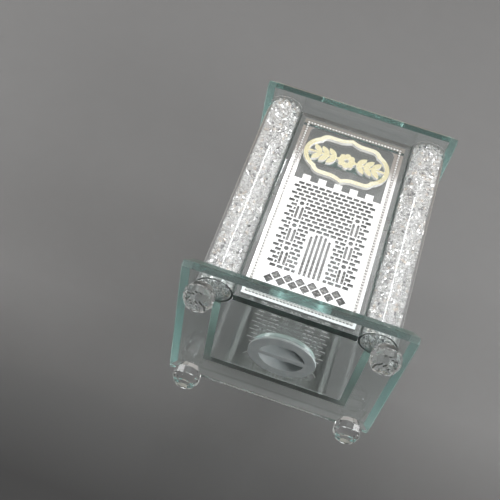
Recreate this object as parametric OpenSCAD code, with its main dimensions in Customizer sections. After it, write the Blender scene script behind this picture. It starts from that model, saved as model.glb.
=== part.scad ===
// Crystal charity box: two bevelled plates, glass panels, crystal-filled columns, pierced plaques.
// Millimetres, +Z up, front towards -Y, origin under the middle of the feet.

/* [Plates] */
// Width of the base plate
base_w = 120; // [90:1:180]
// Depth of the base plate
base_d = 108; // [85:1:160]
// Step in from the base plate's edge to the top plate's edge
plate_step = 4; // [0:0.5:8]
// Thickness of each plate
plate_t = 8.4; // [6:0.2:14]
// Height of the bevel round a plate's upper edge
bevel_h = 4.5; // [1:0.1:5]
// Width of that bevel
bevel_w = 3.7; // [1:0.1:6]

/* [Body] */
// Clear height between the plates
inner_h = 128; // [90:1:180]
// Front panel's face behind the top plate's front edge
panel_inset = 12.2; // [8:0.1:18]
// Thickness of the front and rear panels
panel_t = 5; // [3:0.5:8]
// Side panels' outer faces in from the columns' axes
side_in = 0.8; // [0:0.1:4]
// Thickness of the side panels
side_t = 4; // [3:0.5:8]
// Glue line between a panel and a column
glue_gap = 0.2; // [0.1:0.05:0.5]
// Glue line between two flat faces
seat_gap = 0.1; // [0.05:0.05:0.3]

/* [Columns] */
// Outside diameter of a column tube
column_od = 20; // [14:0.5:24]
// Wall of a column tube
column_wall = 1; // [0.75:0.25:4]
// Column's axis in from the top plate's side edge
column_side = 13.2; // [12:0.1:18]
// Column's axis behind the top plate's front edge
column_inset = 13.8; // [12:0.1:18]
// Space between the crystals and the tube
fill_gap = 0.2; // [0.1:0.05:0.5]

/* [Coin openings] */
// Length of the coin slot
slot_l = 52; // [36:1:60]
// Width of the coin slot
slot_w = 5; // [4:0.25:7]
// Diameter of the outlet in the base plate
outlet_d = 34; // [28:1:44]
// Radial clearance of the plug in the outlet
plug_fit = 0.08; // [0.02:0.01:0.1]
// Length of the plug in the outlet
plug_l = 7; // [5:0.5:8]
// Width of the plug's rim outside the outlet
plug_rim_w = 1.5; // [1:0.1:4]
// Thickness of the plug's rim
plug_rim_t = 1.2; // [0.8:0.1:2.5]
// Wall round the finger recess
plug_wall = 4.4; // [3:0.1:6]
// Depth of the finger recess
recess_depth = 5.5; // [3:0.5:6]
// Width of the pull bar across the recess
pull_bar_w = 3.2; // [2:0.1:5]

/* [Feet] */
// Width of a ball foot across its facets
foot_af = 15.4; // [10:0.2:18]
// Height of a ball foot between its flats
foot_h = 14; // [9:0.2:16]
// Foot's axis in from the base plate's side edge
foot_side = 12.5; // [8:0.1:16]
// Foot's axis in from the base plate's front or rear edge
foot_inset = 10.6; // [8:0.1:16]

/* [Plaques] */
// Space between a plaque and the front panel's side edge
plaque_side = 2.8; // [0.5:0.1:8]
// Space between a plaque's upper edge and the top plate
plaque_head = 4.8; // [0.5:0.1:10]
// Plaque's lower edge above the base plate
plaque_lift = 2.4; // [0.5:0.1:4]
// Thickness of a plaque
plaque_t = 1; // [0.6:0.1:2]
// Width of the beaded border
border_w = 5; // [3:0.1:8]
// Middle of the bead row in from the plaque's edge
bead_line = 2.4; // [1.5:0.1:6]
// Width of the groove that the beads sit in
bead_groove_w = 1.8; // [1:0.1:3]
// Depth of that groove
bead_groove_d = 0.3; // [0.1:0.05:0.5]
// Corner radius at the top of the window
window_r = 4; // [1:0.5:8]
// Width of a merlon, and of the space beside it
merlon_w = 4.5; // [3:0.1:7]
// Height of a merlon
merlon_h = 3.8; // [2:0.1:8]
// Space between the merlons and the cartouche's lower point
merlon_gap = 0.8; // [0.4:0.1:4]
// Length of a pierced block
block_l = 3.1; // [2:0.1:5]
// Height of a pierced block
block_h = 1.75; // [1:0.05:3]
// Spacing of the blocks along a course
block_pitch = 3.9; // [3:0.1:6]
// Spacing of the courses
course = 2.6; // [2:0.1:5]
// Width across a lozenge in the lower band
lozenge_w = 5.4; // [2:0.1:7]
// Spacing of the lozenges
lozenge_pitch = 6.4; // [3:0.1:9]
// Width of the gate
gate_w = 13; // [8:0.5:18]
// Height of the gate up to the spring of its arch
gate_h = 22; // [12:0.5:30]
// Width of an open slit in the gate or a window
slit_w = 1.4; // [0.8:0.1:2.5]
// Width of the bar between two slits
slit_bar = 1.1; // [0.8:0.1:2]
// Height of a window's slits up to the spring of their arches
slit_h = 7.6; // [4:0.1:12]
// Courses that the gate takes up
gate_courses = 11; // [6:1:14]
// Courses that a window takes up
bay_courses = 5; // [4:1:6]
// Course that the lowest window starts on
bay_first = 1; // [1:1:3]
// Courses from the start of one window to the next above it
bay_step = 6; // [5:1:9]
// Diameter of the round light above a window
light_d = 2.6; // [1:0.1:4]

/* [Cartouche] */
// Space between the cartouche and the window's sides
cart_side = 0.1; // [0.1:0.1:6]
// Space between the cartouche's upper point and the window's top
cart_head = 1.3; // [0.4:0.1:6]
// Height of the cartouche, without its points
cart_h = 29.2; // [20:0.2:36]
// Rise of the points above and below
cart_point = 2; // [0.5:0.1:3]
// Half the width of a point's sweep
cart_point_w = 9; // [4:0.5:12]
// Depth of a point's sweep inside the frame
cart_root = 0.3; // [0.2:0.1:1]
// Radius of an end lobe
lobe_r = 12.4; // [6:0.1:14]
// Shoulder's side in from the end lobe's tip
shoulder_in = 6.2; // [4:0.1:12]
// Corner radius of the shoulders
shoulder_r = 6; // [4:0.1:9]
// Width of the frame
cart_band = 2.6; // [1.5:0.1:4]
// Fine groove in from the frame's outer edge
cart_groove_in = 1.1; // [0.5:0.1:2]
// Width of that groove
cart_groove_w = 0.35; // [0.2:0.05:0.6]
// Depth of that groove
cart_groove_d = 0.3; // [0.1:0.05:0.6]
// Thickness of the cartouche
cart_t = 2; // [1:0.1:3]
// Thickness of the sprig's stem
stem_w = 1.4; // [0.8:0.1:3]
// Length of a leaf
leaf_l = 7.4; // [4:0.1:10]
// Width of a leaf
leaf_w = 3.2; // [2:0.1:5]
// Spacing of the leaves
leaf_pitch = 4.3; // [3:0.1:6]
// Lean of a leaf out from the stem
leaf_angle = 48; // [30:1:70]
// First leaf's stalk beyond the ring of petals
leaf_start = 2.4; // [1:0.1:4]
// Number of petals
petals = 8; // [5:1:12]
// Radius of the ring that carries the rosette's petals
petal_ring_r = 3.6; // [2:0.1:5]
// Radius of a petal
petal_r = 1.7; // [1:0.1:3]
// Radius of the hole in the rosette
eye_r = 1.3; // [0.5:0.1:2]

/* [Hidden] */
$fn = 96;
facets = 12;
base_z = foot_h + seat_gap;
floor_z = base_z + plate_t;
ceiling_z = floor_z + inner_h;
top_w = base_w - 2 * plate_step;
top_d = base_d - 2 * plate_step;
face_y = top_d / 2 - panel_inset;
column_r = column_od / 2;
column_x = top_w / 2 - column_side;
column_y = -(top_d / 2 - column_inset);
front_half = column_x - column_r - glue_gap;
side_x = column_x - side_in;
side_y0 = column_y + column_r + glue_gap;
side_y1 = face_y - panel_t - seat_gap;
wall_z = floor_z + seat_gap;
wall_h = inner_h - 2 * seat_gap;
outlet_r = outlet_d / 2;
plug_r = outlet_r - plug_fit;
rim_r = outlet_r + plug_rim_w;
recess_r = plug_r - plug_wall;
foot_x = base_w / 2 - foot_side;
foot_y = base_d / 2 - foot_inset;
plaque_z = floor_z + plaque_lift;
plaque_w = 2 * (front_half - plaque_side);
plaque_h = inner_h - plaque_lift - plaque_head;
open_half = plaque_w / 2 - border_w;
cart_w = 2 * (open_half - cart_side);
cart_drop = border_w + cart_head + cart_point + cart_h / 2;
shoulder_x = cart_w / 2 - shoulder_in;
wall_v = plaque_h - cart_drop - cart_h / 2 - cart_point - merlon_gap - merlon_h;
gate_half = gate_w / 2;
slit_pitch = slit_w + slit_bar;
lozenge_v = border_w + lozenge_pitch / 2;
wall_v0 = lozenge_v + lozenge_pitch / 2 + lozenge_w / 2 + course;
courses = floor((wall_v - wall_v0 - block_h) / course) + 1;
gate_v = wall_v0 - block_h / 2;
gate_keep = 1.5 * block_pitch + block_l / 2 + 0.05;
bay_u = round((gate_keep + open_half) / 2 / block_pitch) * block_pitch;
bay_keep = block_pitch - block_l / 2;
bay_rows = [for (row = [bay_first : bay_step : courses - bay_courses]) row];
block_count = ceil(open_half / block_pitch);
lozenge_count = ceil(open_half / lozenge_pitch);
merlon_count = floor((open_half - merlon_w / 2) / (2 * merlon_w));
cart_z = plaque_z + plaque_h - cart_drop;
lobe_x = cart_w / 2 - lobe_r;
cut = 1;

// Outline of a plate seen along one edge
module plate_outline(l) {
    flat_h = plate_t - bevel_h;
    polygon([[-l / 2, 0], [l / 2, 0], [l / 2, flat_h], [l / 2 - bevel_w, plate_t],
             [bevel_w - l / 2, plate_t], [-l / 2, flat_h]]);
}

module bevelled_plate(w, d) {
    intersection() {
        rotate([90, 0, 0]) linear_extrude(d, center = true) plate_outline(w);
        rotate([90, 0, 90]) linear_extrude(w, center = true) plate_outline(d);
    }
}

module base_plate() {
    color("#bcd6cf") difference() {
        translate([0, 0, base_z]) bevelled_plate(base_w, base_d);
        translate([0, 0, base_z - cut]) cylinder(h = plate_t + 2 * cut, r = outlet_r);
    }
}

module top_plate() {
    end_x = (slot_l - slot_w) / 2;
    color("#bcd6cf") difference() {
        translate([0, 0, ceiling_z]) bevelled_plate(top_w, top_d);
        translate([-end_x, -slot_w / 2, ceiling_z - cut]) cube([2 * end_x, slot_w, plate_t + 2 * cut]);
        for (x = [-end_x, end_x])
            translate([x, 0, ceiling_z - cut]) cylinder(h = plate_t + 2 * cut, d = slot_w);
    }
}

module front_panel() {
    color("#d5e6e1") translate([-front_half, -face_y, wall_z])
        cube([2 * front_half, panel_t, wall_h]);
}

module rear_panel() {
    color("#d5e6e1") translate([-side_x, face_y - panel_t, wall_z]) cube([2 * side_x, panel_t, wall_h]);
}

module side_panel(x) {
    color("#d5e6e1") translate([x, side_y0, wall_z]) cube([side_t, side_y1 - side_y0, wall_h]);
}

module left_panel() {
    side_panel(-side_x);
}

module right_panel() {
    side_panel(side_x - side_t);
}

module column(x) {
    color("#e8f0f0") translate([x, column_y, wall_z]) difference() {
        cylinder(h = wall_h, r = column_r);
        translate([0, 0, -cut]) cylinder(h = wall_h + 2 * cut, r = column_r - column_wall);
    }
}

module left_column() {
    column(-column_x);
}

module right_column() {
    column(column_x);
}

module crystals(x) {
    color("#e6e6e8") translate([x, column_y, wall_z])
        cylinder(h = wall_h, r = column_r - column_wall - fill_gap);
}

module left_crystals() {
    crystals(-column_x);
}

module right_crystals() {
    crystals(column_x);
}

// Twelve-sided bar lying level, turned about the vertical by a
module facet_bar(a) {
    half_step = 180 / facets;
    rotate([0, 0, a]) rotate([90, 0, 0]) rotate([0, 0, half_step])
        cylinder(h = 2 * foot_af, d = foot_af / cos(half_step), center = true, $fn = facets);
}

// Ball cut to flat facets, twelve round and twelve over
module foot(x, y) {
    color("#dfe9ec") translate([x, y, foot_h / 2]) intersection() {
        cube([2 * foot_af, 2 * foot_af, foot_h], center = true);
        facet_bar(0);
        facet_bar(30);
        facet_bar(60);
        facet_bar(90);
        facet_bar(120);
        facet_bar(150);
    }
}

module foot_front_left() {
    foot(-foot_x, -foot_y);
}

module foot_front_right() {
    foot(foot_x, -foot_y);
}

module foot_rear_left() {
    foot(-foot_x, foot_y);
}

module foot_rear_right() {
    foot(foot_x, foot_y);
}

module coin_plug() {
    rim_z = base_z - seat_gap - plug_rim_t;
    color("#cfd8da") {
        difference() {
            union() {
                translate([0, 0, rim_z]) cylinder(h = plug_rim_t + plug_l, r = plug_r);
                translate([0, 0, rim_z]) cylinder(h = plug_rim_t, r = rim_r);
            }
            difference() {
                translate([0, 0, rim_z - cut]) cylinder(h = recess_depth + cut, r = recess_r);
                translate([-plug_r, -pull_bar_w / 2, rim_z]) cube([2 * plug_r, pull_bar_w, recess_depth]);
            }
        }
    }
}

module window_opening() {
    top_v = plaque_h - border_w;
    difference() {
        union() {
            translate([-open_half, wall_v]) square([2 * open_half, top_v - window_r - wall_v]);
            translate([window_r - open_half, wall_v]) square([2 * (open_half - window_r), top_v - wall_v]);
            for (s = [-1, 1])
                translate([s * (open_half - window_r), top_v - window_r]) circle(r = window_r);
        }
        for (i = [-merlon_count : merlon_count])
            translate([2 * i * merlon_w - merlon_w / 2, wall_v - cut]) square([merlon_w, merlon_h + cut]);
    }
}

module arched_slit(u, v, h) {
    translate([u - slit_w / 2, v]) square([slit_w, h]);
    translate([u, v + h]) circle(d = slit_w);
}

// Gate of slits under a round arch
module gate() {
    for (i = [-2 : 2]) {
        u = i * slit_pitch;
        arched_slit(u, gate_v, gate_h + sqrt(gate_half * gate_half - u * u) - slit_w);
    }
}

// Two slits side by side with a round light above them
module bay(u, row) {
    slit_v = wall_v0 + row * course - block_h / 2;
    for (s = [-0.5, 0.5])
        arched_slit(u + s * slit_pitch, slit_v, slit_h);
    translate([u, slit_v + slit_h + slit_w / 2 + slit_bar + light_d / 2]) circle(d = light_d);
}

// Room kept clear of blocks over some courses
module keep_clear(u, row, rows, half) {
    translate([u - half, wall_v0 + (row - 0.5) * course]) square([2 * half, rows * course]);
}

module blocks() {
    difference() {
        for (row = [0 : courses - 1], i = [-block_count : block_count]) {
            u = (i + (row % 2) / 2) * block_pitch;
            if (abs(u) + block_l / 2 < open_half)
                translate([u, wall_v0 + row * course]) square([block_l, block_h], center = true);
        }
        keep_clear(0, 0, gate_courses, gate_keep);
        for (s = [-1, 1], row = bay_rows)
            keep_clear(s * bay_u, row, bay_courses, bay_keep);
    }
}

module lozenges() {
    side = lozenge_w / sqrt(2);
    for (row = [0, 1], i = [-lozenge_count : lozenge_count]) {
        u = (i + row / 2) * lozenge_pitch;
        if (abs(u) + lozenge_w / 2 < open_half)
            translate([u, lozenge_v + row * lozenge_pitch / 2]) rotate(45) square(side, center = true);
    }
}

// Plaque drawn flat: u across, v up from its lower edge
module plaque_outline() {
    difference() {
        translate([-plaque_w / 2, 0]) square([plaque_w, plaque_h]);
        window_opening();
        gate();
        for (s = [-1, 1], row = bay_rows)
            bay(s * bay_u, row);
        blocks();
        lozenges();
    }
}

// Plaque's own edge, drawn in by the amount e
module plaque_edge(e) {
    translate([e - plaque_w / 2, e]) square([plaque_w - 2 * e, plaque_h - 2 * e]);
}

// Plaque with its groove on the front (out = 1) or the rear (out = -1)
module plaque(y, out) {
    color("#d8dadb") translate([0, y + plaque_t / 2, plaque_z]) rotate([90, 0, 0]) difference() {
        linear_extrude(plaque_t, center = true) plaque_outline();
        translate([0, 0, out * plaque_t / 2]) linear_extrude(2 * bead_groove_d, center = true) difference() {
            plaque_edge(bead_line - bead_groove_w / 2);
            plaque_edge(bead_line + bead_groove_w / 2);
        }
    }
}

module front_plaque() {
    plaque(-face_y - seat_gap - plaque_t, 1);
}

module rear_plaque() {
    plaque(face_y + seat_gap, -1);
}

// Bracket outline, drawn in by the amount e
module bracket(e) {
    point_h = cart_point + cart_root;
    sweep_r = (cart_point_w * cart_point_w + point_h * point_h) / (2 * point_h);
    half_h = cart_h / 2 - e;
    half_x = shoulder_x - e;
    r = shoulder_r - e;
    square([2 * half_x, 2 * (half_h - r)], center = true);
    square([2 * (half_x - r), 2 * half_h], center = true);
    for (sx = [-1, 1], sz = [-1, 1])
        translate([sx * (half_x - r), sz * (half_h - r)]) circle(r = r);
    for (s = [-1, 1])
        translate([s * lobe_x, 0]) circle(r = lobe_r - e);
    for (a = [0, 180])
        rotate(a) translate([0, half_h - cart_root]) difference() {
            translate([-cart_point_w, 0]) square([2 * cart_point_w, point_h + cut]);
            for (s = [-1, 1])
                translate([s * cart_point_w, sweep_r]) circle(r = sweep_r);
        }
}

// Leaf between two arcs, its stalk at the origin
module leaf() {
    arc_r = (leaf_l * leaf_l / 4 + leaf_w * leaf_w / 4) / leaf_w;
    translate([leaf_l / 2, 0]) intersection() {
        translate([0, arc_r - leaf_w / 2]) circle(r = arc_r);
        translate([0, leaf_w / 2 - arc_r]) circle(r = arc_r);
    }
}

module sprig() {
    reach = cart_w / 2 - cart_band / 2;
    leaf_x = petal_ring_r + leaf_start;
    leaf_pairs = floor((reach - leaf_x - leaf_l * cos(leaf_angle)) / leaf_pitch) + 1;
    translate([0, -stem_w / 2]) square([reach, stem_w]);
    for (i = [0 : leaf_pairs - 1], s = [-1, 1])
        translate([leaf_x + i * leaf_pitch, 0]) rotate(s * leaf_angle) leaf();
}

module rosette() {
    for (i = [1 : petals])
        rotate(i * 360 / petals) translate([petal_ring_r, 0]) circle(r = petal_r);
    circle(r = petal_ring_r);
}

module cartouche_outline() {
    difference() {
        union() {
            difference() {
                bracket(0);
                bracket(cart_band);
            }
            sprig();
            mirror([1, 0]) sprig();
            rosette();
        }
        circle(r = eye_r);
    }
}

module cartouche() {
    color("#e3d9a4") translate([0, -face_y - seat_gap - cart_t / 2, cart_z]) rotate([90, 0, 0]) difference() {
        linear_extrude(cart_t, center = true) cartouche_outline();
        translate([0, 0, cart_t / 2]) linear_extrude(2 * cart_groove_d, center = true) difference() {
            bracket(cart_groove_in);
            bracket(cart_groove_in + cart_groove_w);
        }
    }
}

base_plate();
top_plate();
front_panel();
rear_panel();
left_panel();
right_panel();
left_column();
right_column();
left_crystals();
right_crystals();
front_plaque();
rear_plaque();
cartouche();
foot_front_left();
foot_front_right();
foot_rear_left();
foot_rear_right();
coin_plug();
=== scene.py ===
# Charity box of glass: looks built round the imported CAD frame. Metres, +Z up, front towards -Y.
import math
import bpy
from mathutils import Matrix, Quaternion, Vector


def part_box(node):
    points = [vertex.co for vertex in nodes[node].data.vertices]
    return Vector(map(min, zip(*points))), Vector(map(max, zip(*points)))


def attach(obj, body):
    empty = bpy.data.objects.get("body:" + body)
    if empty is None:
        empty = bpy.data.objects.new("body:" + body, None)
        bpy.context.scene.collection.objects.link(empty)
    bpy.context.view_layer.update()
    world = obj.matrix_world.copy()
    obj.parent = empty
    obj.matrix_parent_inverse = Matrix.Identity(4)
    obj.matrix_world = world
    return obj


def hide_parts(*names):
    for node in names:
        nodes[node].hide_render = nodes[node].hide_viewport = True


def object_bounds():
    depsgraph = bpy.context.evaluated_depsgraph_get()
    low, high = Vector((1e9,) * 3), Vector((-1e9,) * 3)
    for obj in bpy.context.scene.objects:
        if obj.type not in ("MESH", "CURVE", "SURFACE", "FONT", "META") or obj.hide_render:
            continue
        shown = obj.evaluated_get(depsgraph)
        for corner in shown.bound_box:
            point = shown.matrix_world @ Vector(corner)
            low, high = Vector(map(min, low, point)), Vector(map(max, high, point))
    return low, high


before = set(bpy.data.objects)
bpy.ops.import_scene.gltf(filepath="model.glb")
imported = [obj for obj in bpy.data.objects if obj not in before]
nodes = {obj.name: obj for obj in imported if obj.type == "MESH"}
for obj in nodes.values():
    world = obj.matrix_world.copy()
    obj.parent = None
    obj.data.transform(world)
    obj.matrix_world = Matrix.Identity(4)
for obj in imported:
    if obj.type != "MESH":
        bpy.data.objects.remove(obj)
cadLow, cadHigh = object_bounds()
mm = 0.001

sides = ("left", "right")
ends = ("front", "rear")
boxBody = "box"
white = (1.0, 1.0, 1.0)
# share of a face's normal that lies along an axis
sideways = 0.3      # with less than this the face looks across the axis
squareOn = 0.7      # and with more than this along it


# Helpers for pieces

def deselectAll():
    bpy.ops.object.select_all(action="DESELECT")


def pick(piece):
    deselectAll()
    piece.select_set(True)
    bpy.context.view_layer.objects.active = piece


def settle(piece):
    # place goes into the mesh, the object stays at the origin
    pick(piece)
    bpy.ops.object.transform_apply(location=True, rotation=True, scale=True)


def applyModifiers(piece):
    pick(piece)
    for modifier in list(piece.modifiers):
        bpy.ops.object.modifier_apply(modifier=modifier.name)


def joinPieces(pieces, name):
    pick(pieces[0])
    for piece in pieces:
        piece.select_set(True)
    bpy.ops.object.join()
    joined = bpy.context.view_layer.objects.active
    joined.name = name
    joined.data.name = name
    return joined


def dress(piece, material):
    piece.data.materials.clear()
    piece.data.materials.append(material)


# Helpers for materials, most of which add a node and give back its output

def newMaterial(name):
    material = bpy.data.materials.new(name)
    material.use_nodes = True
    tree = material.node_tree
    return material, tree, tree.nodes["Principled BSDF"]


def objectCoords(tree):
    return tree.nodes.new("ShaderNodeTexCoord").outputs["Object"]


def faceNormal(tree):
    return tree.nodes.new("ShaderNodeNewGeometry").outputs["True Normal"]


def axes(tree, vector):
    split = tree.nodes.new("ShaderNodeSeparateXYZ")
    tree.links.new(vector, split.inputs[0])
    return split.outputs


def noiseTexture(tree, coords, scale, detail=2.0):
    noise = tree.nodes.new("ShaderNodeTexNoise")
    noise.inputs["Scale"].default_value = scale
    noise.inputs["Detail"].default_value = detail
    tree.links.new(coords, noise.inputs["Vector"])
    return noise.outputs["Fac"]


def colourRamp(tree, factor, stops):
    ramp = tree.nodes.new("ShaderNodeValToRGB")
    while len(ramp.color_ramp.elements) < len(stops):
        ramp.color_ramp.elements.new(0.5)
    for element, (place, colour) in zip(ramp.color_ramp.elements, stops):
        element.position = place
        element.color = (*colour, 1.0)
    tree.links.new(factor, ramp.inputs["Fac"])
    return ramp.outputs["Color"]


def mottle(tree, noise, low, high):
    return colourRamp(tree, noise, [(0.3, low), (0.7, high)])


def dimmed(colour, share):
    return tuple(share * c for c in colour)


def valueRange(tree, factor, low, high, start=0.0, finish=1.0):
    # from low to high, as the factor goes from start to finish
    spread = tree.nodes.new("ShaderNodeMapRange")
    spread.inputs["From Min"].default_value = start
    spread.inputs["From Max"].default_value = finish
    spread.inputs["To Min"].default_value = low
    spread.inputs["To Max"].default_value = high
    tree.links.new(factor, spread.inputs["Value"])
    return spread.outputs["Result"]


def maths(tree, operation, *values):
    node = tree.nodes.new("ShaderNodeMath")
    node.operation = operation
    for socket, value in zip(node.inputs, values):
        if isinstance(value, float):
            socket.default_value = value
        else:
            tree.links.new(value, socket)
    return node.outputs[0]


def within(tree, value, reach):
    return maths(tree, "LESS_THAN", maths(tree, "ABSOLUTE", value), reach)


def vectorMaths(tree, operation, *values):
    # gives back the node, because its output depends on the operation
    node = tree.nodes.new("ShaderNodeVectorMath")
    node.operation = operation
    for socket, value in zip(node.inputs, values):
        if isinstance(value, tuple):
            socket.default_value = value
        else:
            tree.links.new(value, socket)
    return node


def mixColour(tree, factor, first, second):
    mix = tree.nodes.new("ShaderNodeMix")
    mix.data_type = "RGBA"
    tree.links.new(factor, mix.inputs[0])
    for socket, colour in ((mix.inputs[6], first), (mix.inputs[7], second)):
        if isinstance(colour, tuple):
            socket.default_value = (*colour, 1.0)
        else:
            tree.links.new(colour, socket)
    return mix.outputs[2]


def mixVector(tree, factor, first, second):
    mix = tree.nodes.new("ShaderNodeMix")
    mix.data_type = "VECTOR"
    tree.links.new(factor, mix.inputs[0])
    tree.links.new(first, mix.inputs[4])
    tree.links.new(second, mix.inputs[5])
    return mix.outputs[1]


# Camera, at the photo's angle

cameraSettings = {
    "place": (-0.00174, -0.42104, -0.21626),
    "turn": (2.20246, -0.30018, -0.13199),
    "lens": 65.04,
    "sensor": 36.0,
    "nearest": 0.01,
}


def makeCamera(s):
    data = bpy.data.cameras.new("photoCamera")
    data.lens = s["lens"]
    data.sensor_width = s["sensor"]
    data.clip_start = s["nearest"]
    camera = bpy.data.objects.new("photoCamera", data)
    camera.location = s["place"]
    camera.rotation_euler = s["turn"]
    bpy.context.scene.collection.objects.link(camera)
    bpy.context.scene.camera = camera


makeCamera(cameraSettings)
print("camera placed")


# Glass

plateGlassSettings = {
    "ior": 1.5,
    "tint": (0.46, 0.68, 0.66),             # what is left of white light after a long way through
    "density": 26.0,                        # per metre
    "smudge": (0.0, 0.02),                  # roughness of the polished faces
    # roughness of a cut face, and the share of light that it scatters
    "edges": (0.02, 0.02),
    "ends": (0.5, 0.0),                     # left and right
    "drilled": (0.35, 0.2),                 # walls of the outlet and the slot
    "drillField": (27.0 * mm, 22.0 * mm),   # half the field that holds either
    "hazeColour": (0.78, 0.86, 0.84),
}
panelGlassSettings = {
    "ior": 1.5,
    "tint": (0.48, 0.68, 0.64),
    "density": 7.0,
    "smudge": (0.0, 0.015),
    "edges": (0.35, 0.0),
    "hazeColour": (0.72, 0.83, 0.81),
}
tubeGlassSettings = {
    "ior": 1.5,
    "tint": (0.48, 0.66, 0.63),
    "density": 45.0,
    "smudge": (0.0, 0.015),
    "coat": (0.6, 0.15),                    # weight and roughness of the polish
    "lowerEnd": 0.4,                        # its roughness
}
footCrystalSettings = {
    "ior": 1.56,
    "tint": (0.72, 0.85, 0.84),
    "density": 3.0,
    "smudge": (0.0, 0.015),
}
smudgeScale, smudgeDetail = 35.0, 4.0       # alike on all glass


def cutMasks(tree, s, across):
    # 1 on each kind of cut face that the settings hold
    way = axes(tree, faceNormal(tree))
    edge = within(tree, way[across], sideways)
    masks = {"edges": edge}
    if "ends" in s:
        masks["ends"] = maths(tree, "GREATER_THAN", maths(tree, "ABSOLUTE", way["X"]), squareOn)
    if "drilled" in s:
        spot = axes(tree, objectCoords(tree))
        near = [within(tree, spot[axis], reach) for axis, reach in zip("XY", s["drillField"])]
        masks["drilled"] = maths(tree, "MULTIPLY", edge, maths(tree, "MULTIPLY", *near))
    return masks


def roundNormal(tree, middle):
    # true round of an upright tube, in place of the flats of its mesh
    flat = faceNormal(tree)
    away = vectorMaths(tree, "SUBTRACT", objectCoords(tree), (middle.x, middle.y, 0.0)).outputs[0]
    level = vectorMaths(tree, "MULTIPLY", away, (1.0, 1.0, 0.0)).outputs[0]
    spoke = vectorMaths(tree, "NORMALIZE", level).outputs[0]
    facing = maths(tree, "SIGN", vectorMaths(tree, "DOT_PRODUCT", spoke, flat).outputs["Value"])
    curved = vectorMaths(tree, "SCALE", spoke)
    tree.links.new(facing, curved.inputs["Scale"])
    upright = within(tree, axes(tree, flat)["Z"], sideways)
    return mixVector(tree, upright, flat, curved.outputs[0])


def makeGlass(name, s, across=None, middle=None):
    # across: the axis that a plate's or panel's cut faces look across; middle: a tube's
    material, tree, shader = newMaterial(name)
    shader.inputs["Base Color"].default_value = (*white, 1.0)
    shader.inputs["IOR"].default_value = s["ior"]
    shader.inputs["Transmission Weight"].default_value = 1.0
    smudge = noiseTexture(tree, objectCoords(tree), smudgeScale, smudgeDetail)
    roughness = valueRange(tree, smudge, *s["smudge"])
    if across:
        haze = 0.0
        masks = cutMasks(tree, s, across)
        for part, mask in masks.items():
            rough, share = s[part]
            roughness = maths(tree, "MAXIMUM", roughness, maths(tree, "MULTIPLY", mask, rough))
            haze = maths(tree, "MAXIMUM", haze, maths(tree, "MULTIPLY", mask, share))
        tree.links.new(maths(tree, "SUBTRACT", 1.0, haze), shader.inputs["Transmission Weight"])
        cutColour = mixColour(tree, masks["edges"], white, s["hazeColour"])
        tree.links.new(cutColour, shader.inputs["Base Color"])
    if middle:
        coatWeight, coatRoughness = s["coat"]
        shader.inputs["Coat Weight"].default_value = coatWeight
        shader.inputs["Coat Roughness"].default_value = coatRoughness
        below = maths(tree, "LESS_THAN", axes(tree, faceNormal(tree))["Z"], -squareOn)
        roughness = maths(tree, "MAXIMUM", roughness, maths(tree, "MULTIPLY", below, s["lowerEnd"]))
        curved = roundNormal(tree, middle)
        tree.links.new(curved, shader.inputs["Normal"])
        tree.links.new(curved, shader.inputs["Coat Normal"])
    tree.links.new(roughness, shader.inputs["Roughness"])
    absorb = tree.nodes.new("ShaderNodeVolumeAbsorption")
    absorb.inputs["Color"].default_value = (*s["tint"], 1.0)
    absorb.inputs["Density"].default_value = s["density"]
    tree.links.new(absorb.outputs["Volume"], tree.nodes["Material Output"].inputs["Volume"])
    return material


plateGlass = makeGlass("plateGlass", plateGlassSettings, across="Z")
broadPanelGlass = makeGlass("broadPanelGlass", panelGlassSettings, across="Y")
sidePanelGlass = makeGlass("sidePanelGlass", panelGlassSettings, across="X")
footCrystal = makeGlass("footCrystal", footCrystalSettings)

for plateName in ("base_plate", "top_plate"):
    dress(nodes[plateName], plateGlass)
for end in ends:
    dress(nodes[end + "_panel"], broadPanelGlass)
for side in sides:
    columnLow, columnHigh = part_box(side + "_column")
    tubeGlass = makeGlass(side + "TubeGlass", tubeGlassSettings, middle=(columnLow + columnHigh) / 2)
    dress(nodes[side + "_column"], tubeGlass)
    dress(nodes[side + "_panel"], sidePanelGlass)
    for end in ends:
        dress(nodes["foot_%s_%s" % (end, side)], footCrystal)
print("glass done")


# Plaque metal and its rows of beads

plaqueSettings = {
    "colour": (0.86, 0.87, 0.88),
    "back": (0.20, 0.205, 0.20),    # painted shade on the back, which faces the inside of the box
    "groove": (0.66, 0.65, 0.64),   # painted shade in the recess round the beads
    "grooveDepth": 0.3 * mm,
    "grainScale": 900.0,
    "grainDip": 0.95,
    "roughness": (0.06, 0.09),
}
beadSettings = {
    "colour": (0.95, 0.95, 0.94),
    # painted shade on the sides of each bead
    "rim": (0.30, 0.29, 0.28),
    "grainScale": 700.0,
    "grainDip": 0.9,
    "metallic": 0.2,
    "roughness": (0.22, 0.32),
    "radius": 0.74 * mm,
    "pitch": 1.83 * mm,
    "inset": 2.4 * mm,              # row in from the plaque's edge
    "sink": 0.12,                   # share of the radius below the groove's floor
    "segments": 10,
    "rings": 6,
    "smoothUnder": 50.0,            # degrees
}


def outwardMask(tree, least=0.5):
    # 1 on faces that look away from the box's middle, front to back
    sign = maths(tree, "SIGN", axes(tree, objectCoords(tree))["Y"])
    outward = maths(tree, "MULTIPLY", axes(tree, faceNormal(tree))["Y"], sign)
    return maths(tree, "GREATER_THAN", outward, least)


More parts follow.
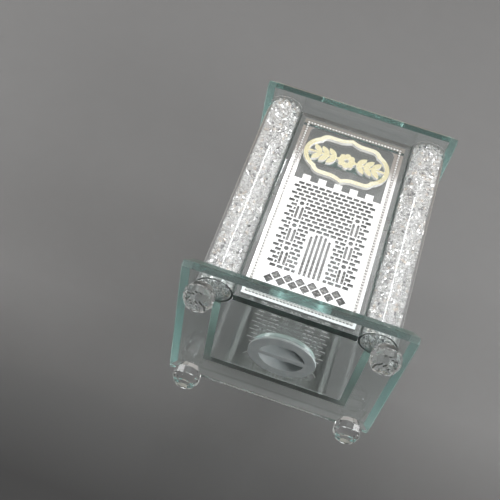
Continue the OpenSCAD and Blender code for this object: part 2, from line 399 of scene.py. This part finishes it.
def makePlaqueMetal(s):
    material, tree, shader = newMaterial("plaqueMetal")
    coords = objectCoords(tree)
    grain = noiseTexture(tree, coords, s["grainScale"])
    bright = mottle(tree, grain, dimmed(s["colour"], s["grainDip"]), s["colour"])
    depth = maths(tree, "ABSOLUTE", axes(tree, coords)["Y"])
    sunk = maths(tree, "LESS_THAN", depth, -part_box("front_plaque")[0].y - s["grooveDepth"] / 2)
    # the floor of the recess round the beads is painted darker, as shade
    groove = maths(tree, "MULTIPLY", sunk, outwardMask(tree))
    face = mixColour(tree, groove, bright, s["groove"])
    # the back is painted dark, as shade, and is not metal
    front = outwardMask(tree, -0.5)     # all but the back
    tree.links.new(mixColour(tree, front, s["back"], face), shader.inputs["Base Color"])
    tree.links.new(front, shader.inputs["Metallic"])
    tree.links.new(valueRange(tree, grain, *s["roughness"]), shader.inputs["Roughness"])
    return material


def makeBeadMetal(s):
    material, tree, shader = newMaterial("beadMetal")
    grain = noiseTexture(tree, objectCoords(tree), s["grainScale"])
    crown = mottle(tree, grain, dimmed(s["colour"], s["grainDip"]), s["colour"])
    # the sides of each bead are painted dark, as shade between the beads
    tree.links.new(mixColour(tree, outwardMask(tree), s["rim"], crown), shader.inputs["Base Color"])
    tree.links.new(valueRange(tree, grain, *s["roughness"]), shader.inputs["Roughness"])
    shader.inputs["Metallic"].default_value = s["metallic"]
    return material


def makeBead(s, outward):
    # ball cut to a dome that sits just into the plaque's face
    deselectAll()
    bpy.ops.mesh.primitive_uv_sphere_add(segments=s["segments"], ring_count=s["rings"],
                                         radius=s["radius"])
    bead = bpy.context.active_object
    bpy.ops.object.mode_set(mode="EDIT")
    bpy.ops.mesh.select_all(action="SELECT")
    bpy.ops.mesh.bisect(plane_co=(0, -s["sink"] * outward * s["radius"], 0), plane_no=(0, outward, 0),
                        use_fill=True, clear_inner=True)
    bpy.ops.object.mode_set(mode="OBJECT")
    bpy.ops.object.shade_smooth_by_angle(angle=math.radians(s["smoothUnder"]))
    return bead


def beadRow(s, start, finish, outward):
    # evenly spaced beads from the start up to, but not on, the finish
    run = Vector(finish) - Vector(start)
    count = round(run.length / s["pitch"])
    bead = makeBead(s, outward)
    bead.location = start
    settle(bead)
    array = bead.modifiers.new("row", "ARRAY")
    array.use_relative_offset = False
    array.use_constant_offset = True
    array.constant_offset_displace = run / count
    array.count = count
    applyModifiers(bead)
    return bead


def makeBeads(s, plaqueName, pieceName, outward, grooveDepth):
    low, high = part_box(plaqueName)
    floor = (low.y if outward < 0 else high.y) - outward * grooveDepth
    x0, x1 = low.x + s["inset"], high.x - s["inset"]
    z0, z1 = low.z + s["inset"], high.z - s["inset"]
    corners = [(x0, floor, z0), (x1, floor, z0), (x1, floor, z1), (x0, floor, z1)]
    rows = [beadRow(s, corners[i], corners[(i + 1) % 4], outward) for i in range(4)]
    beads = joinPieces(rows, pieceName)
    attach(beads, boxBody)
    return beads


plaqueMetal = makePlaqueMetal(plaqueSettings)
beadMetal = makeBeadMetal(beadSettings)
for end, outward in zip(ends, (-1, 1)):
    plaqueName = end + "_plaque"
    dress(nodes[plaqueName], plaqueMetal)
    beads = makeBeads(beadSettings, plaqueName, end + "Beads", outward, plaqueSettings["grooveDepth"])
    dress(beads, beadMetal)
print("plaques done")


# Cartouche in pale gold with fine glitter

cartoucheSettings = {
    "dark": (0.62, 0.57, 0.35),
    "light": (0.75, 0.71, 0.50),
    "frame": (0.82, 0.81, 0.67),            # the ring round the ornament
    "ornament": (30.0 * mm, 8.0 * mm),      # half the field of the ornament
    "edge": (0.95, 0.95, 0.93),             # cut sides
    "grainScale": 2200.0,
    "grainStops": (0.15, 0.75),
    "grainBump": 0.5,
    "grainDepth": 0.1 * mm,
    "metallic": 0.3,
    "roughness": (0.30, 0.45),
}


def makeGlitterGold(s):
    material, tree, shader = newMaterial("glitterGold")
    coords = objectCoords(tree)
    grain = tree.nodes.new("ShaderNodeTexVoronoi")
    grain.inputs["Scale"].default_value = s["grainScale"]
    tree.links.new(coords, grain.inputs["Vector"])
    ring, glitter = [colourRamp(tree, grain.outputs["Color"], list(zip(s["grainStops"], colours)))
                     for colours in ((s["light"], s["frame"]), (s["dark"], s["light"]))]
    low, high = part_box("cartouche")
    spot = axes(tree, coords)
    drop = maths(tree, "SUBTRACT", spot["Z"], (low.z + high.z) / 2)
    near = [within(tree, way, reach) for way, reach in zip((spot["X"], drop), s["ornament"])]
    face = mixColour(tree, maths(tree, "MULTIPLY", *near), ring, glitter)
    outward = outwardMask(tree)
    tree.links.new(mixColour(tree, outward, s["edge"], face), shader.inputs["Base Color"])
    tree.links.new(maths(tree, "MULTIPLY", outward, s["metallic"]), shader.inputs["Metallic"])
    roughness = valueRange(tree, grain.outputs["Distance"], *s["roughness"])
    tree.links.new(roughness, shader.inputs["Roughness"])
    bump = tree.nodes.new("ShaderNodeBump")
    bump.inputs["Strength"].default_value = s["grainBump"]
    bump.inputs["Distance"].default_value = s["grainDepth"]
    tree.links.new(grain.outputs["Distance"], bump.inputs["Height"])
    tree.links.new(bump.outputs["Normal"], shader.inputs["Normal"])
    return material


dress(nodes["cartouche"], makeGlitterGold(cartoucheSettings))
print("cartouche done")


# Crushed crystal in the columns

chipSettings = {
    "radius": 0.95 * mm,
    # each cut: direction, and how far out along it, as a share of the radius
    "cuts": (((1, 0.2, 0.3), 0.75), ((-0.8, 0.5, 0.2), 0.7), ((0.1, -1, 0.4), 0.6),
             ((-0.3, -0.5, -1), 0.65), ((0.5, 0.9, -0.4), 0.7), ((-0.4, 0.1, 1), 0.6),
             ((0.8, -0.6, -0.5), 0.8)),
    "clear": 0.15 * mm,                     # room between the chips and the tube
    "shells": ((0.0, 1.2 * mm, 3), (1.4 * mm, 1.6 * mm, 8)),    # depth in, spacing, seed
    "shellSides": 48,
    "crowding": 4.0,                        # points tried on each square of the spacing
    "shrink": (0.55, 0.45, 0.6),
    "grow": (1.1, 1.0, 1.25),
    "sideSeed": {"left": 0, "right": 20},   # added to a shell's own
    "shadeSeed": 5,
    # colour by a chip's own random shade; the warm tint at the top end is a painted glint of warm
    # light
    "shades": [(0.0, (0.30, 0.31, 0.33)), (0.08, (0.80, 0.81, 0.82)), (0.3, (0.95, 0.95, 0.96)),
               (0.92, (0.98, 0.98, 0.98)), (0.96, (0.97, 0.88, 0.80))],
    "metallic": 0.3,
    "roughness": 0.08,
    "ior": 2.0,
}


def makeChip(s):
    deselectAll()
    bpy.ops.mesh.primitive_cube_add(size=2 * s["radius"])
    chip = bpy.context.active_object
    bpy.ops.object.mode_set(mode="EDIT")
    for direction, reach in s["cuts"]:
        way = Vector(direction).normalized()
        bpy.ops.mesh.select_all(action="SELECT")
        bpy.ops.mesh.bisect(plane_co=way * reach * s["radius"], plane_no=way,
                            use_fill=True, clear_outer=True)
    bpy.ops.object.mode_set(mode="OBJECT")
    return chip


def makeShell(nodeName, s, depth):
    # drum that carries one layer of chips
    low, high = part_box(nodeName)
    middle = (low + high) / 2
    inset = s["clear"] + s["radius"] + depth
    deselectAll()
    bpy.ops.mesh.primitive_cylinder_add(vertices=s["shellSides"], radius=(high.x - low.x) / 2 - inset,
                                        depth=high.z - low.z - 2 * inset, location=middle)
    shell = bpy.context.active_object
    settle(shell)
    return shell


def randomVector(tree, low, high, seed):
    node = tree.nodes.new("FunctionNodeRandomValue")
    node.data_type = "FLOAT_VECTOR"
    node.inputs[0].default_value = low
    node.inputs[1].default_value = high
    node.inputs["Seed"].default_value = seed
    return node.outputs[0]


def scatterChips(shell, chip, s, spacing, seed):
    # the shell gives way to chips set all over it, each with a random shade
    tree = bpy.data.node_groups.new("scatterChips", "GeometryNodeTree")
    tree.interface.new_socket("Geometry", in_out="INPUT", socket_type="NodeSocketGeometry")
    tree.interface.new_socket("Geometry", in_out="OUTPUT", socket_type="NodeSocketGeometry")
    entry = tree.nodes.new("NodeGroupInput")
    leave = tree.nodes.new("NodeGroupOutput")
    points = tree.nodes.new("GeometryNodeDistributePointsOnFaces")
    points.distribute_method = "POISSON"
    points.inputs["Distance Min"].default_value = spacing
    points.inputs["Density Max"].default_value = s["crowding"] / spacing ** 2
    points.inputs["Seed"].default_value = seed
    chipInfo = tree.nodes.new("GeometryNodeObjectInfo")
    chipInfo.inputs["Object"].default_value = chip
    placed = tree.nodes.new("GeometryNodeInstanceOnPoints")
    shade = tree.nodes.new("GeometryNodeStoreNamedAttribute")
    shade.data_type = "FLOAT"
    shade.domain = "INSTANCE"
    shade.inputs["Name"].default_value = "shade"
    draw = tree.nodes.new("FunctionNodeRandomValue")
    draw.inputs["Seed"].default_value = seed + s["shadeSeed"]
    real = tree.nodes.new("GeometryNodeRealizeInstances")
    fullTurn = (2 * math.pi,) * 3
    link = tree.links.new
    link(entry.outputs[0], points.inputs["Mesh"])
    link(points.outputs["Points"], placed.inputs["Points"])
    link(chipInfo.outputs["Geometry"], placed.inputs["Instance"])
    link(randomVector(tree, (0, 0, 0), fullTurn, seed + 1), placed.inputs["Rotation"])
    link(randomVector(tree, s["shrink"], s["grow"], seed + 2), placed.inputs["Scale"])
    link(placed.outputs["Instances"], shade.inputs["Geometry"])
    link(draw.outputs[1], shade.inputs["Value"])
    link(shade.outputs["Geometry"], real.inputs["Geometry"])
    link(real.outputs["Geometry"], leave.inputs[0])
    modifier = shell.modifiers.new("chips", "NODES")
    modifier.node_group = tree
    applyModifiers(shell)


def makeChipMaterial(s):
    material, tree, shader = newMaterial("crystalChips")
    shade = tree.nodes.new("ShaderNodeAttribute")
    shade.attribute_name = "shade"
    tree.links.new(colourRamp(tree, shade.outputs["Fac"], s["shades"]), shader.inputs["Base Color"])
    shader.inputs["Metallic"].default_value = s["metallic"]
    shader.inputs["Roughness"].default_value = s["roughness"]
    shader.inputs["IOR"].default_value = s["ior"]
    return material


def makeColumnFill(side, s, material):
    nodeName = side + "_crystals"
    chip = makeChip(s)
    shells = []
    for depth, spacing, seed in s["shells"]:
        shell = makeShell(nodeName, s, depth)
        scatterChips(shell, chip, s, spacing, seed + s["sideSeed"][side])
        shells.append(shell)
    bpy.data.objects.remove(chip)
    fill = joinPieces(shells, side + "Chips")
    dress(fill, material)
    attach(fill, boxBody)
    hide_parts(nodeName)
    print(fill.name, len(fill.data.polygons), "faces")


chipMaterial = makeChipMaterial(chipSettings)
for side in sides:
    makeColumnFill(side, chipSettings, chipMaterial)
print("crystals done")


# Milky plug

plugSettings = {
    "dark": (0.50, 0.55, 0.56),
    "light": (0.60, 0.64, 0.64),
    "cloudScale": 180.0,
    "cloudDetail": 3.0,
    "roughness": (0.45, 0.6),
    "milkiness": 0.3,
    "milkDepth": 3.0 * mm,
}


def makeSilicone(s):
    material, tree, shader = newMaterial("milkySilicone")
    cloud = noiseTexture(tree, objectCoords(tree), s["cloudScale"], s["cloudDetail"])
    tree.links.new(mottle(tree, cloud, s["dark"], s["light"]), shader.inputs["Base Color"])
    tree.links.new(valueRange(tree, cloud, *s["roughness"]), shader.inputs["Roughness"])
    shader.inputs["Subsurface Weight"].default_value = s["milkiness"]
    shader.inputs["Subsurface Radius"].default_value = (s["milkDepth"],) * 3
    return material


dress(nodes["coin_plug"], makeSilicone(plugSettings))
print("plug done")


# Stage: pale floor with a painted shadow under the box, dark grey sheet behind as painted shade, soft
# lights

paperSettings = {
    "size": 4.0,
    "fleckScale": 60.0,
    "fleckDip": 0.98,
    "roughness": 0.8,
}
floorSettings = {
    "colour": (0.66, 0.66, 0.66),
    "shade": (0.14, 0.14, 0.14),            # painted shadow right under the box
    "fade": (50.0 * mm, 95.45 * mm),        # full shade to none, out from the middle
}
sheetSettings = {
    # a dark grey sheet, painted shade standing in for the shaded inside of a box
    "colour": (0.17, 0.17, 0.17),
    "shade": (0.04, 0.04, 0.04),            # painted shade down by the floor
    "fade": (-62.5 * mm, 62.5 * mm),        # full shade to none, upwards
    "gap": 40.0 * mm,                       # behind the box
}
# colour of the surroundings at each height, 0 at the horizon and 1 overhead
surroundings = [(0.10, (0.44, 0.435, 0.43)), (0.55, (0.44, 0.435, 0.43)), (0.68, (0.43, 0.385, 0.34))]
lampSettings = {
    "cardLamp": {"place": (0.0, -0.95, 0.50), "width": 1.6, "height": 0.64, "power": 3.5, "roll": 8.0},
    "stripLamp": {"place": (-0.12, -0.79, 0.63), "width": 0.05, "height": 0.20, "power": 0.55},
    "lowLamp": {"place": (0.68, -0.48, -0.35), "width": 0.4, "height": 0.4, "power": 4.0},
    "leftLamp": {"place": (-0.90, -0.32, 0.30), "width": 0.55, "height": 0.36, "power": 3.9},
    "rightLamp": {"place": (0.90, -0.32, 0.30), "width": 0.55, "height": 0.36, "power": 4.8},
}


def makePaper(name, s, upright):
    # seen from its front only, so a camera behind it looks past it
    material, tree, shader = newMaterial(name)
    coords = objectCoords(tree)
    fleck = noiseTexture(tree, coords, paperSettings["fleckScale"])
    flecked = mottle(tree, fleck, dimmed(s["colour"], paperSettings["fleckDip"]), s["colour"])
    behind = tree.nodes.new("ShaderNodeNewGeometry").outputs["Backfacing"]
    ray = tree.nodes.new("ShaderNodeLightPath").outputs
    if upright:     # the sheet lets light through to the box's rear
        away = axes(tree, coords)["Z"]
        looking = maths(tree, "MAXIMUM", ray["Is Camera Ray"], ray["Is Transmission Ray"])
        hidden = maths(tree, "SUBTRACT", 1.0, looking)
    else:           # and the floor lets the low lamp through
        away = vectorMaths(tree, "LENGTH", coords).outputs["Value"]
        hidden = ray["Is Shadow Ray"]
    # painted shade: on the floor a shadow under the box, on the sheet a darker band down by the floor
    fade = valueRange(tree, away, 0.0, 1.0, *s["fade"])
    tree.links.new(mixColour(tree, fade, s["shade"], flecked), shader.inputs["Base Color"])
    shader.inputs["Roughness"].default_value = paperSettings["roughness"]
    clear = tree.nodes.new("ShaderNodeBsdfTransparent")
    mix = tree.nodes.new("ShaderNodeMixShader")
    tree.links.new(maths(tree, "MAXIMUM", behind, hidden), mix.inputs["Fac"])
    tree.links.new(shader.outputs["BSDF"], mix.inputs[1])
    tree.links.new(clear.outputs["BSDF"], mix.inputs[2])
    tree.links.new(mix.outputs["Shader"], tree.nodes["Material Output"].inputs["Surface"])
    return material


def makeSheet(name, place, turn, paper):
    deselectAll()
    bpy.ops.mesh.primitive_plane_add(size=paperSettings["size"], location=place, rotation=turn)
    sheet = bpy.context.active_object
    sheet.name = name
    settle(sheet)
    dress(sheet, paper)


def makeWorld(stops):
    world = bpy.data.worlds.new("studio")
    world.use_nodes = True
    tree = world.node_tree
    height = axes(tree, tree.nodes.new("ShaderNodeTexCoord").outputs["Generated"])["Z"]
    tree.links.new(colourRamp(tree, height, stops), tree.nodes["Background"].inputs["Color"])
    bpy.context.scene.world = world


def makeLamp(name, s, target):
    data = bpy.data.lights.new(name, "AREA")
    data.energy = s["power"]
    data.shape = "RECTANGLE"
    data.size = s["width"]
    data.size_y = s["height"]
    lamp = bpy.data.objects.new(name, data)
    lamp.location = s["place"]
    lamp.visible_camera = False
    aim = (target - Vector(s["place"])).to_track_quat("-Z", "Y")
    roll = Quaternion((0, 0, 1), math.radians(s.get("roll", 0.0)))
    lamp.rotation_euler = (aim @ roll).to_euler()
    bpy.context.scene.collection.objects.link(lamp)


floorPaper = makePaper("floorPaper", floorSettings, upright=False)
sheetPaper = makePaper("sheetPaper", sheetSettings, upright=True)
sheetPlace = (0, cadHigh.y + sheetSettings["gap"], 0)
makeSheet("floor", (0, 0, 0), (0, 0, 0), floorPaper)
makeSheet("backSheet", sheetPlace, (math.pi / 2, 0, 0), sheetPaper)
makeWorld(surroundings)
for lampName, settings in lampSettings.items():
    makeLamp(lampName, settings, (cadLow + cadHigh) / 2)

scene = bpy.context.scene
scene.view_settings.view_transform = "Standard"
scene.cycles.blur_glossy = 0.0          # full light on what stands inside the glass
scene.cycles.max_bounces = 20           # light runs a long way inside the plates
scene.cycles.diffuse_bounces = 10
scene.cycles.glossy_bounces = 16
scene.cycles.transmission_bounces = 20
print("stage done")
